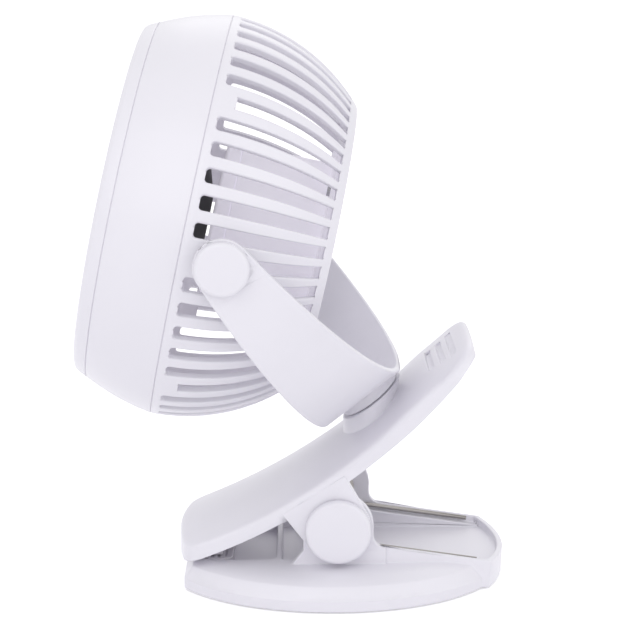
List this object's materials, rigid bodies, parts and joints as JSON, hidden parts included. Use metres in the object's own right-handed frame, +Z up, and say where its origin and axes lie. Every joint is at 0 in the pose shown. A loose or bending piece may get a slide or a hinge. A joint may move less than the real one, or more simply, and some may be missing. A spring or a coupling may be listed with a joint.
{
  "type": "clip fan",
  "caption": "Small white desk fan: a tilting round head in a semicircular yoke that swivels on a spring clamp with a flat foot.",
  "frame": {"origin": "centre of the foot's underside, on the middle rubber foot", "axes": "+Z up, +X along the clamp from its mouth to the finger lever, +Y to the far side; the head faces -X and a little up"},
  "size_m": [0.1531, 0.1604, 0.201],
  "materials": {
    "white_gloss": "moulded glossy ABS with a soft sheen",
    "white_satin": "satin moulded ABS",
    "white_inner": "plain moulded inner part",
    "black_fan": "satin black moulded",
    "steel": "bright spring wire and turned steel",
    "screw_steel": "plated screws",
    "pale_rubber": "soft pale rubber",
    "foot_rubber": "soft grey rubber",
    "board": "solder mask",
    "dark_part": "black moulded switch body",
    "lens": "clear light pipe",
    "badge": "blank glossy disc"
  },
  "bodies": {
    "base": {"base_shell": "white_gloss", "base_cover": "white_satin", "foot_pads": "foot_rubber", "cover_screws": "screw_steel", "lower_grip_pad": "pale_rubber", "hinge_pin": "steel", "hinge_cap_near": "white_gloss", "hinge_cap_far": "white_gloss", "torsion_spring_near": "steel", "torsion_spring_far": "steel"},
    "jaw": {"jaw_shell": "white_gloss", "jaw_grip_pad": "pale_rubber"},
    "yoke": {"yoke": "white_gloss", "swivel_washer": "screw_steel", "swivel_screw": "screw_steel", "pivot_cap_near": "white_gloss", "pivot_cap_far": "white_gloss"},
    "head": {"rear_cover": "white_gloss", "mid_shell": "white_gloss", "front_bezel": "white_gloss", "front_grille": "white_satin", "grille_badge": "badge", "rear_panel": "white_satin", "motor_housing": "white_inner", "motor_cap": "white_inner", "motor_can": "steel", "circuit_board": "board", "usb_socket": "steel", "indicator_lens": "lens", "push_switch": "dark_part", "housing_screws": "screw_steel", "pivot_screws": "screw_steel", "pivot_washers": "screw_steel"},
    "impeller": {"impeller": "black_fan", "motor_shaft": "steel"},
    "power_button": {"power_button": "white_satin"}
  },
  "joints": [
    {"name": "clip_open", "type": "hinge", "parent": "base", "child": "jaw", "pos_m": [-0.0025, 0, 0.024], "axis": [0, 1, 0], "range_deg": [0, 32], "stiffness_Nm_per_rad": 0.8, "springref_deg": -34.38},
    {"name": "swivel", "type": "hinge", "parent": "jaw", "child": "yoke", "pos_m": [0.00975, 0, 0.06553], "axis": [-0.618, 0, 0.7862], "continuous": true},
    {"name": "tilt", "type": "hinge", "parent": "yoke", "child": "head", "pos_m": [-0.03975, 0, 0.1285], "axis": [0, 1, 0], "continuous": true},
    {"name": "impeller_spin", "type": "hinge", "parent": "head", "child": "impeller", "pos_m": [-0.03975, 0, 0.1285], "axis": [-0.9768, 0, 0.2141], "continuous": true},
    {"name": "power_press", "type": "slide", "parent": "head", "child": "power_button", "axis": [-0.9768, 0, 0.2141], "range_m": [0, 0.0008], "stiffness_N_per_m": 400, "springref_m": -0.0004}
  ]
}
